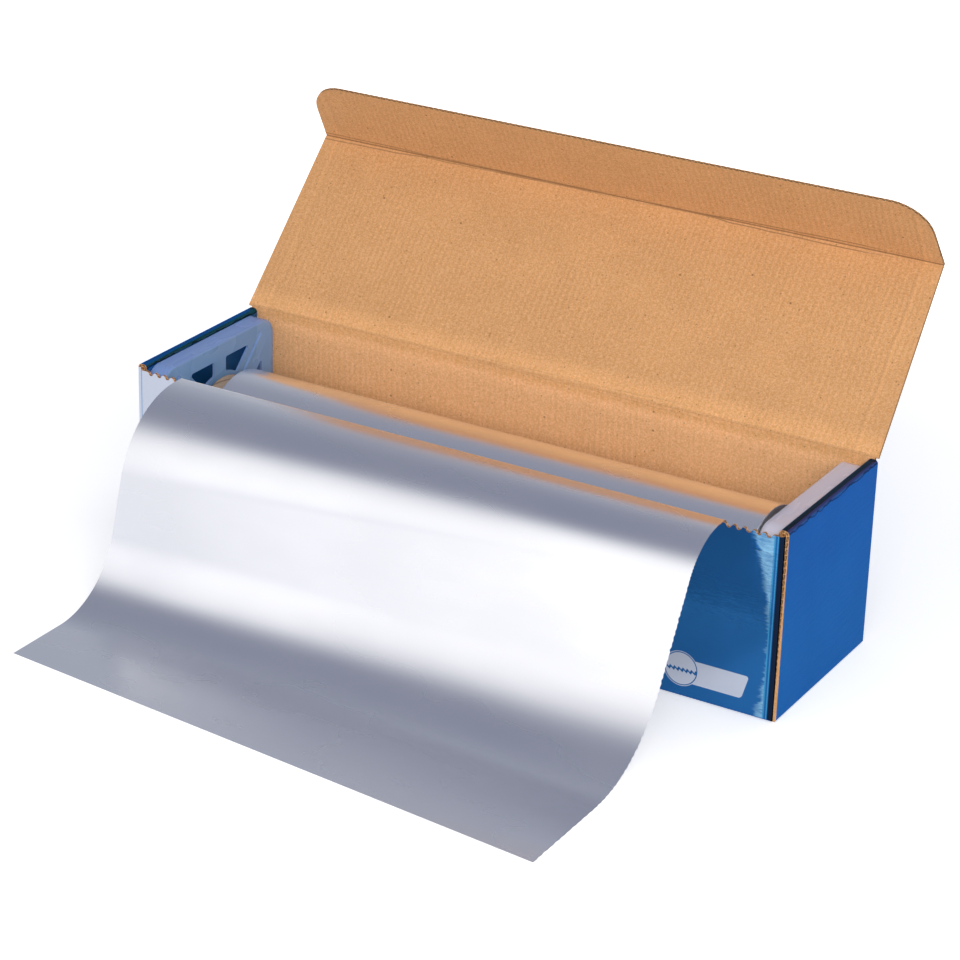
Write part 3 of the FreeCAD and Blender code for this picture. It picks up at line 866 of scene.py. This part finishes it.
def crease_strip(name, hinge, before, after, half_width, materials):
    """A scored fold between two panels, each given as its direction away from the hinge and its bare face."""
    reach = 0.0032
    bare_row, printed_row = (
        crease_row(hinge, before[0], after[0], (before[1] * side, after[1] * side), reach, 0.00025)
        for side in (1, -1)
    )
    section = bare_row + printed_row[::-1]
    count, bare = len(section), len(bare_row)
    shell = bmesh.new()
    columns = 90
    rings = []
    for column in range(columns + 1):
        x = half_width * (2 * column / columns - 1)
        wander = 0.00008 * noise.noise(Vector((x * 90, hinge.z * 40, 0)))
        rings.append([shell.verts.new((x, point.y, point.z + wander)) for point in section])
    for first, second in zip(rings, rings[1:]):
        for index in range(count):
            following = (index + 1) % count
            face = shell.faces.new((first[index], first[following], second[following], second[index]))
            on_edge = index in (bare - 1, count - 1)
            face.material_index = CUT_EDGE if on_edge else (KRAFT if index < bare else PRINT)
    for ring in (rings[0], rings[-1]):
        for index in range(bare - 1):
            across = count - 1 - index
            face = shell.faces.new((ring[index], ring[index + 1], ring[across - 1], ring[across]))
            face.material_index = CUT_EDGE
    bmesh.ops.recalc_face_normals(shell, faces=shell.faces)
    mesh = bpy.data.meshes.new(name)
    shell.to_mesh(mesh)
    shell.free()
    smooth_shaded(mesh, 50)
    map_cut_edges(mesh, lambda point: point.x)
    return new_piece(name, mesh, materials)


# The drawn foil


def foil_path(side):
    """Middle line of the drawn foil at one edge, side 0 left and 1 right: stretches of (y, z) points."""
    drop, slope, floor = DROP_RADII[side], SLOPES[side], FLOOR_RADII[side]
    orbit = roll_radius + SHEET_GAP
    top = TOOTH_TOP + SHEET_GAP
    bend_y, bend_z = -(tray_high.y - BOARD + BEND_SETBACK), top - WEB_BEND
    across, rise = -bend_y, bend_z - roll_axis.z
    lean = math.acos((orbit + WEB_BEND) / math.hypot(across, rise)) - math.atan(rise / across)
    start = (-orbit * math.cos(lean), roll_axis.z - orbit * math.sin(lean))

    def arc(centre, radius, first, last, steps):
        return [
            (centre[0] + radius * math.cos(angle), centre[1] + radius * math.sin(angle))
            for angle in (first + (last - first) * step / steps for step in range(steps + 1))
        ]

    def straight(first, last, steps):
        return [tuple(a + (b - a) * step / steps for a, b in zip(first, last)) for step in range(steps + 1)]

    bend = arc((bend_y, bend_z), WEB_BEND, lean, math.pi / 2, 8)
    drop_centre = (bend_y - LEDGE, top - drop)
    fall = arc(drop_centre, drop, math.pi / 2, math.pi / 2 + slope, 40)
    floor_z = SHEET_GAP / 2 - 0.00005 + floor
    foot_z = floor_z - floor * math.cos(slope)
    foot_y = fall[-1][0] - (fall[-1][1] - foot_z) / math.tan(slope)
    floor_centre = (foot_y - floor * math.sin(slope), floor_z)
    landing = arc(floor_centre, floor, -math.pi / 2 + slope, -math.pi / 2, 40)
    teeth_y = SHUT_PLANE
    return {
        "web": [straight(start, bend[0], 10), bend, straight(bend[-1], (teeth_y, top), 3)],
        "drop": [
            straight((teeth_y, top), fall[0], 3), fall, straight(fall[-1], landing[0], 34), landing,
            straight(landing[-1], (-SHEET_ENDS[side], landing[-1][1]), 22),
        ],
    }


def joined(stretches):
    points = list(stretches[0])
    for stretch in stretches[1:]:
        points += stretch[1:]
    return points


def foil_mesh(name, part, waviness):
    """Ruled between the two edges' paths, with slow waves and a nicked right edge."""
    left, right = (joined(foil_path(side)[part]) for side in (0, 1))
    columns = 150
    shell = bmesh.new()
    rows = []
    for row, (start, end) in enumerate(zip(left, right)):
        along = row / (len(left) - 1)
        free = math.sin(math.pi * along) * min(1, start[1] / 0.02, end[1] / 0.02) if part == "drop" else 0
        made = []
        for column in range(columns + 1):
            share = column / columns
            x = SHEET_SHIFT + SHEET_WIDTH * (share - 0.5)
            if column == columns:
                x -= 0.0006 * (row % 2) * (0.3 + abs(noise.noise(Vector((row * 0.7, 3, 0)))))
            y = start[0] + (end[0] - start[0]) * share
            z = start[1] + (end[1] - start[1]) * share
            wave = noise.noise(Vector((x * 8, y * 14, z * 14))) + 0.3 * noise.noise(Vector((x * 26, y * 9, 5)))
            lift = waviness * free * wave
            made.append(shell.verts.new((x, y - lift * 0.6, z + lift * 0.8)))
        rows.append(made)
    for first, second in zip(rows, rows[1:]):
        for column in range(columns):
            shell.faces.new((first[column], second[column], second[column + 1], first[column + 1]))
    mesh = bpy.data.meshes.new(name)
    shell.to_mesh(mesh)
    shell.free()
    mesh.shade_smooth()
    return mesh


# The wound turns


EDGE_STEPS = 72


def wound_turns_tree():
    """Geometry Nodes: a closed drum of foil with a flat spiral of cut edges standing out at each end."""
    tree = bpy.data.node_groups.new("wound_turns", "GeometryNodeTree")
    sizes = {
        "Width": 0.3, "Inner Radius": 0.028, "Outer Radius": 0.033, "Edge Height": 0.0004,
        "Edge Thickness": 0.00007,
    }
    tree.interface.new_socket("Geometry", in_out="INPUT", socket_type="NodeSocketGeometry")
    for label, value in sizes.items():
        socket = tree.interface.new_socket(label, in_out="INPUT", socket_type="NodeSocketFloat")
        socket.default_value = value
    tree.interface.new_socket("Turns", in_out="INPUT", socket_type="NodeSocketInt").default_value = 26
    for label in ("Turn Material", "Edge Material"):
        tree.interface.new_socket(label, in_out="INPUT", socket_type="NodeSocketMaterial")
    tree.interface.new_socket("Geometry", in_out="OUTPUT", socket_type="NodeSocketGeometry")
    given = tree.nodes.new("NodeGroupInput").outputs
    result = tree.nodes.new("NodeGroupOutput").inputs["Geometry"]
    inner, outer = given["Inner Radius"], given["Outer Radius"]

    def made(kind, inputs, **settings):
        return add_node(tree, f"GeometryNode{kind}", inputs, **settings).outputs[0]

    def upwards(height):
        return add_node(tree, "ShaderNodeCombineXYZ", {2: height}).outputs[0]

    # drum: a rectangle swept round a circle
    wall = minus(outer, inner)
    middle = times(plus(outer, inner), 0.5)
    circle = made("CurvePrimitiveCircle", {"Resolution": 256, "Radius": middle})
    profile = made("CurvePrimitiveQuadrilateral", {"Width": wall, "Height": given["Width"]})
    drum = made("CurveToMesh", {"Curve": circle, "Profile Curve": profile})
    drum = made("SetMaterial", {"Geometry": drum, "Material": given["Turn Material"]})

    # one spiral of cut edges, each turn lifted by its own step, placed at both ends
    spiral = made("CurveSpiral", {
        "Resolution": EDGE_STEPS, "Rotations": given["Turns"], "Start Radius": inner,
        "End Radius": minus(outer, given["Edge Thickness"]), "Height": 0.0,
    })
    band = made(
        "CurvePrimitiveQuadrilateral", {"Width": given["Edge Thickness"], "Height": given["Edge Height"]},
    )
    edges = made("CurveToMesh", {"Curve": spiral, "Profile Curve": band, "Fill Caps": True})
    turn = calc("FLOOR", calc("DIVIDE", made("InputIndex", {}), 4 * EDGE_STEPS))
    step = add_node(
        tree, "FunctionNodeRandomValue", {"ID": turn, "Seed": 7, 2: 0.0, 3: 1.0}, data_type="FLOAT",
    ).outputs[1]
    lift = times(minus(step, 0.5), given["Edge Height"])
    edges = made("SetPosition", {"Geometry": edges, "Offset": upwards(lift)})
    edges = made("SetMaterial", {"Geometry": edges, "Material": given["Edge Material"]})
    ends = made("MeshLine", {
        "Count": 2, "Start Location": upwards(times(given["Width"], -0.5)),
        "Offset": upwards(times(given["Width"], 0.5)),
    }, mode="END_POINTS")
    placed = made("InstanceOnPoints", {"Points": ends, "Instance": edges})

    joined_up = tree.nodes.new("GeometryNodeJoinGeometry")
    for part in (drum, placed):
        tree.links.new(part, joined_up.inputs[0])
    lying = made("Transform", {"Geometry": joined_up.outputs[0], "Rotation": (0.0, math.pi / 2, 0.0)})
    tree.links.new(made("RealizeInstances", {"Geometry": lying}), result)
    return tree


def set_modifier_input(modifier, label, value):
    for item in modifier.node_group.interface.items_tree:
        if item.item_type == "SOCKET" and item.in_out == "INPUT" and item.name == label:
            modifier[item.identifier] = value
            return
    raise RuntimeError(f"{modifier.node_group.name} has no input named {label}")


def evaluated_mesh(piece, name):
    """The piece's result as a plain mesh."""
    bpy.context.view_layer.update()
    graph = bpy.context.evaluated_depsgraph_get()
    mesh = bpy.data.meshes.new_from_object(piece.evaluated_get(graph), depsgraph=graph)
    mesh.name = name
    return mesh


# Operators


def shared_groups():
    makers = {
        "paper_fibre": paper_fibre_group, "washboard": washboard_group, "film_wrinkle": film_wrinkle_group,
        "rolling_lines": rolling_lines_group, "crease_line": crease_line_group,
    }
    return {name: bpy.data.node_groups.get(name) or make() for name, make in makers.items()}


def board_materials(scene):
    """The board's finishes in the order of KRAFT, PRINT, FRONT_PRINT, END_PRINT and CUT_EDGE."""
    settings, groups = scene.dispenser_carton, shared_groups()
    makers = {
        "kraft_liner": lambda: kraft_material("kraft_liner", settings, groups),
        "blue_print": lambda: print_material("blue_print", settings, groups),
        "front_print": lambda: front_print_material(settings, groups),
        "end_print": lambda: end_print_material("end_print", settings, groups),
        "board_edge": lambda: board_edge_material(settings, groups),
    }
    return [bpy.data.materials.get(name) or make() for name, make in makers.items()]


ROOM_BEHIND_LEFT = (0.34, 0.37, 0.45, 1)
ROOM_BEHIND_RIGHT = (0.55, 0.58, 0.66, 1)
ROOM_BEFORE = (0.62, 0.655, 0.75, 1)
ROOM_ABOVE = (0.235, 0.255, 0.335, 1)
SOFTBOX_WHITE = (1.07, 1.07, 1.09, 1)
SOFTBOX_CORE = (-0.34, -0.82, 0.46)
FLOOR_GLOW = 0.46
FAR_GLOW = 0.55
WARM_WHITE = (1, 0.985, 0.95, 1)


class DISPENSER_OT_stage(bpy.types.Operator):
    """Make the camera, the floor and the soft light"""

    bl_idname = "dispenser.stage"
    bl_label = "Stage"

    def execute(self, context):
        settings = context.scene.dispenser_stage
        for name in ("Cube", "Light", "Camera"):
            spare = bpy.data.objects.get(name)
            if spare is not None:
                bpy.data.objects.remove(spare)
        context.scene.view_settings.view_transform = "Standard"
        self.add_camera(context, settings)
        self.add_floor(context)
        self.add_world(context)
        self.add_softbox(context, "front_softbox", (1.15, -1.8, 1.15), (1.3, 1.0), settings.key_light)
        self.add_softbox(context, "top_softbox", (0.5, 0.2, 2.2), (1.2, 1.2), settings.fill_light)
        return {"FINISHED"}

    def add_camera(self, context, settings):
        azimuth, elevation = settings.azimuth, settings.elevation
        back = Vector((
            math.sin(azimuth) * math.cos(elevation), -math.cos(azimuth) * math.cos(elevation),
            math.sin(elevation),
        ))
        right = Vector((math.cos(azimuth), math.sin(azimuth), 0))
        turned = Matrix.Rotation(settings.roll, 3, back) @ Matrix((right, back.cross(right), back)).transposed()
        camera = bpy.data.objects.new("camera", bpy.data.cameras.new("camera"))
        camera.data.lens = settings.lens
        camera.data.sensor_width = 36
        camera.location = Vector(settings.target) + back * settings.distance
        camera.rotation_mode = "QUATERNION"
        camera.rotation_quaternion = turned.to_quaternion()
        context.scene.collection.objects.link(camera)
        context.scene.camera = camera

    def add_floor(self, context):
        mesh = bpy.data.meshes.new("floor")
        half = 8
        corners = [(-half, -half, 0), (half, -half, 0), (half, half, 0), (-half, half, 0)]
        mesh.from_pydata(corners, [], [(0, 1, 2, 3)])
        material, shader, place = new_material("pale_floor")
        rays = shader.id_data.nodes.new("ShaderNodeLightPath").outputs
        mirrored = calc("MAXIMUM", rays["Is Glossy Ray"], rays["Is Transmission Ray"])
        seen = calc("MAXIMUM", rays["Is Camera Ray"], mirrored)
        tone = fade(noise_value(place, 3, 2), 0.3, 0.7, 0.86, 0.88)
        away = vector_calc("LENGTH", place)["Value"]
        far = fade(away, 0.30, 0.62, 0.0, FAR_GLOW)
        glow = plus(FLOOR_GLOW, times(rays["Is Camera Ray"], far))
        set_inputs(
            shader, roughness=0.9, specular_ior_level=0.1, emission_color=WARM_WHITE,
            emission_strength=times(seen, glow),
            base_color=fed_node("ShaderNodeCombineColor", {0: tone, 1: tone, 2: tone}).outputs[0],
        )
        floor = new_piece("floor", mesh, [material])
        floor.location.z = -0.0001

    def add_world(self, context):
        """A soft grey room with a large white softbox before it on the left, which the foil mirrors."""
        world = bpy.data.worlds.new("studio")
        context.scene.world = world
        world.use_nodes = True
        tree = world.node_tree
        output = tree.nodes["World Output"]
        direction = tree.nodes.new("ShaderNodeTexCoord").outputs["Generated"]
        axes = separate(direction)
        x, y, z = axes["X"], axes["Y"], axes["Z"]
        before = fade(y, -0.10, -0.50)
        behind = mix_colours(fade(x, -0.60, -0.30), ROOM_BEHIND_LEFT, ROOM_BEHIND_RIGHT)
        horizon = mix_colours(before, behind, ROOM_BEFORE)
        room = mix_colours(fade(z, 0.45, 0.92), horizon, ROOM_ABOVE)
        edges = (before, fade(z, -0.20, 0.36), fade(z, 0.95, 0.68), fade(x, -0.90, -0.46), fade(x, 0.30, 0.0))
        box = edges[0]
        for edge in edges[1:]:
            box = times(box, edge)
        colour = mix_colours(box, room, SOFTBOX_WHITE)
        from_core = vector_calc("DISTANCE", direction, SOFTBOX_CORE)["Value"]
        strength = fade(from_core, 0.45, 0.05, 1.0, 1.14)
        studio = add_node(tree, "ShaderNodeBackground", {"Color": colour, "Strength": strength}).outputs[0]
        white = add_node(tree, "ShaderNodeBackground", {"Color": (1, 1, 1, 1), "Strength": 1.0}).outputs[0]
        rays = tree.nodes.new("ShaderNodeLightPath").outputs
        # metal and glass see the white backdrop where it stands low behind the object
        mirrored = calc("MAXIMUM", rays["Is Glossy Ray"], rays["Is Transmission Ray"])
        backdrop = times(fade(y, 0.30, 0.70), fade(z, 0.42, 0.10))
        seen = calc("MAXIMUM", rays["Is Camera Ray"], times(mirrored, backdrop))
        mixed = add_node(tree, "ShaderNodeMixShader", {0: seen, 1: studio, 2: white}).outputs[0]
        tree.links.new(mixed, output.inputs["Surface"])

    def add_softbox(self, context, name, location, size, power):
        lamp = bpy.data.lights.new(name, "AREA")
        lamp.shape = "RECTANGLE"
        lamp.size, lamp.size_y = size
        lamp.energy = power
        made = bpy.data.objects.new(name, lamp)
        made.location = location
        towards = Vector((0, -0.05, 0.06)) - made.location
        made.rotation_mode = "QUATERNION"
        made.rotation_quaternion = towards.to_track_quat("-Z", "Y")
        context.scene.collection.objects.link(made)


class DISPENSER_OT_board(bpy.types.Operator):
    """Dress the tray, the lid and the tuck flap with print, kraft and cut edges"""

    bl_idname = "dispenser.board"
    bl_label = "Board"

    def execute(self, context):
        materials = board_materials(context.scene)
        lid_bare = panel_frame(lid_hinge, lid_angle)[1]
        flap_bare = panel_frame(flap_hinge, lid_angle - flap_angle)[1]
        boards = (
            ("tray_board", "carton_tray", tray_side, tray_run, "carton", "carton_board"),
            ("lid_board", "carton_lid", panel_side(lid_bare), lambda point: 0.0, "lid", "lid_board"),
            ("flap_board", "tuck_flap", panel_side(flap_bare), lambda point: point.x, "flap", "lid_board"),
        )
        for name, node, side_of, run_of, body, slot in boards:
            piece = dress_board(name, node, side_of, run_of, materials)
            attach(piece, body)
            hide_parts(node)
        return {"FINISHED"}


class DISPENSER_OT_creases(bpy.types.Operator):
    """Make the two scored folds that join the tray, the lid and the flap"""

    bl_idname = "dispenser.creases"
    bl_label = "Creases"

    def execute(self, context):
        materials = board_materials(context.scene)
        back_wall = (Vector((0, 0, -1)), Vector((0, -1, 0)))
        lid = panel_frame(lid_hinge, lid_angle)
        lid_from_flap = (-lid[0], lid[1])
        flap = panel_frame(flap_hinge, lid_angle - flap_angle)
        flap_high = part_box("tuck_flap")[1]
        folds = (
            ("lid_fold", lid_hinge, back_wall, lid, CORNER_FLAP_END, "carton", "lid"),
            ("flap_fold", flap_hinge, lid_from_flap, flap, flap_high.x - 0.0002, "lid", "flap"),
        )
        for name, hinge, before, after, half_width, first, second in folds:
            piece = crease_strip(name, hinge, before, after, half_width, materials)
            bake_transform(piece)
        return {"FINISHED"}


class DISPENSER_OT_holders(bpy.types.Operator):
    """Give the moulded holders and the paper tube their finishes"""

    bl_idname = "dispenser.holders"
    bl_label = "Holders and Tube"

    def execute(self, context):
        settings = context.scene.dispenser_holders
        plastic = plastic_material(settings)
        for node in ("end_holder_left", "end_holder_right"):
            frame["nodes"][node].material_slots[0].material = plastic
        paper = tube_material(settings, shared_groups())
        frame["nodes"]["core_tube"].material_slots[0].material = paper
        return {"FINISHED"}


class DISPENSER_OT_turns(bpy.types.Operator):
    """Wind the turns of foil on the tube"""

    bl_idname = "dispenser.turns"
    bl_label = "Wound Turns"

    def execute(self, context):
        settings = context.scene.dispenser_foil
        bright = foil_material("wound_foil", settings.wound_colour, settings, shared_groups())
        ends = turn_end_material(settings)
        seed = new_piece("wound_seed", bpy.data.meshes.new("wound_seed"), [])
        modifier = seed.modifiers.new("wound_turns", "NODES")
        modifier.node_group = wound_turns_tree()
        edge_height = 0.0005
        values = {
            "Width": roll_high.x - roll_low.x - edge_height, "Inner Radius": 0.0281,
            "Outer Radius": roll_radius, "Edge Height": edge_height, "Turns": settings.shown_turns,
            "Turn Material": bright, "Edge Material": ends,
        }
        for label, value in values.items():
            set_modifier_input(modifier, label, value)
        mesh = evaluated_mesh(seed, "foil_turns")
        bpy.data.objects.remove(seed)
        mesh.transform(Matrix.Translation(((roll_low.x + roll_high.x) / 2, roll_axis.y, roll_axis.z)))
        smooth_shaded(mesh, 40)
        piece = new_piece("foil_turns", mesh, [])
        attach(piece, "roll")
        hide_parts("foil_roll")
        return {"FINISHED"}


class DISPENSER_OT_drawn_foil(bpy.types.Operator):
    """Draw the foil off the roll, over the teeth and down to the table"""

    bl_idname = "dispenser.drawn_foil"
    bl_label = "Drawn Foil"

    def execute(self, context):
        settings = context.scene.dispenser_foil
        material = foil_material("drawn_foil", settings.colour, settings, shared_groups())
        for part, name in (("web", "foil_web"), ("drop", "foil_drop")):
            mesh = foil_mesh(name, part, settings.waviness)
            piece = new_piece(name, mesh, [material])
            wall = piece.modifiers.new("foil_thickness", "SOLIDIFY")
            wall.thickness = settings.thickness
            wall.offset = 0
            solid = evaluated_mesh(piece, name)
            smooth_shaded(solid, 40)
            piece.modifiers.clear()
            piece.data = solid
            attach(piece, "carton")
            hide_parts("foil_sheet")
            if part == "drop":
                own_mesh(piece)
        return {"FINISHED"}


class DISPENSER_PT_panel(bpy.types.Panel):
    """Steps of the dispenser, in order"""

    bl_idname = "DISPENSER_PT_panel"
    bl_label = "Foil Dispenser"
    bl_space_type = "VIEW_3D"
    bl_region_type = "UI"
    bl_category = "Dispenser"

    def draw(self, context):
        for operator in OPERATORS:
            self.layout.operator(operator.bl_idname)
        for name, group in SETTINGS.items():
            box = self.layout.box()
            box.label(text=group.__doc__)
            for label in group.__annotations__:
                box.prop(getattr(context.scene, name), label)


SETTINGS = {
    "dispenser_carton": CartonSettings,
    "dispenser_foil": FoilSettings,
    "dispenser_holders": HolderSettings,
    "dispenser_stage": StageSettings,
}
OPERATORS = (
    DISPENSER_OT_stage,
    DISPENSER_OT_board,
    DISPENSER_OT_creases,
    DISPENSER_OT_holders,
    DISPENSER_OT_turns,
    DISPENSER_OT_drawn_foil,
)


def register():
    for item in (*SETTINGS.values(), *OPERATORS, DISPENSER_PT_panel):
        bpy.utils.register_class(item)
    for name, group in SETTINGS.items():
        setattr(bpy.types.Scene, name, PointerProperty(type=group))


def unregister():
    for name in SETTINGS:
        delattr(bpy.types.Scene, name)
    for item in reversed((*SETTINGS.values(), *OPERATORS, DISPENSER_PT_panel)):
        bpy.utils.unregister_class(item)


def main():
    register()
    for operator in OPERATORS:
        group, name = operator.bl_idname.split(".")
        getattr(getattr(bpy.ops, group), name)()


if __name__ == "__main__":
    main()
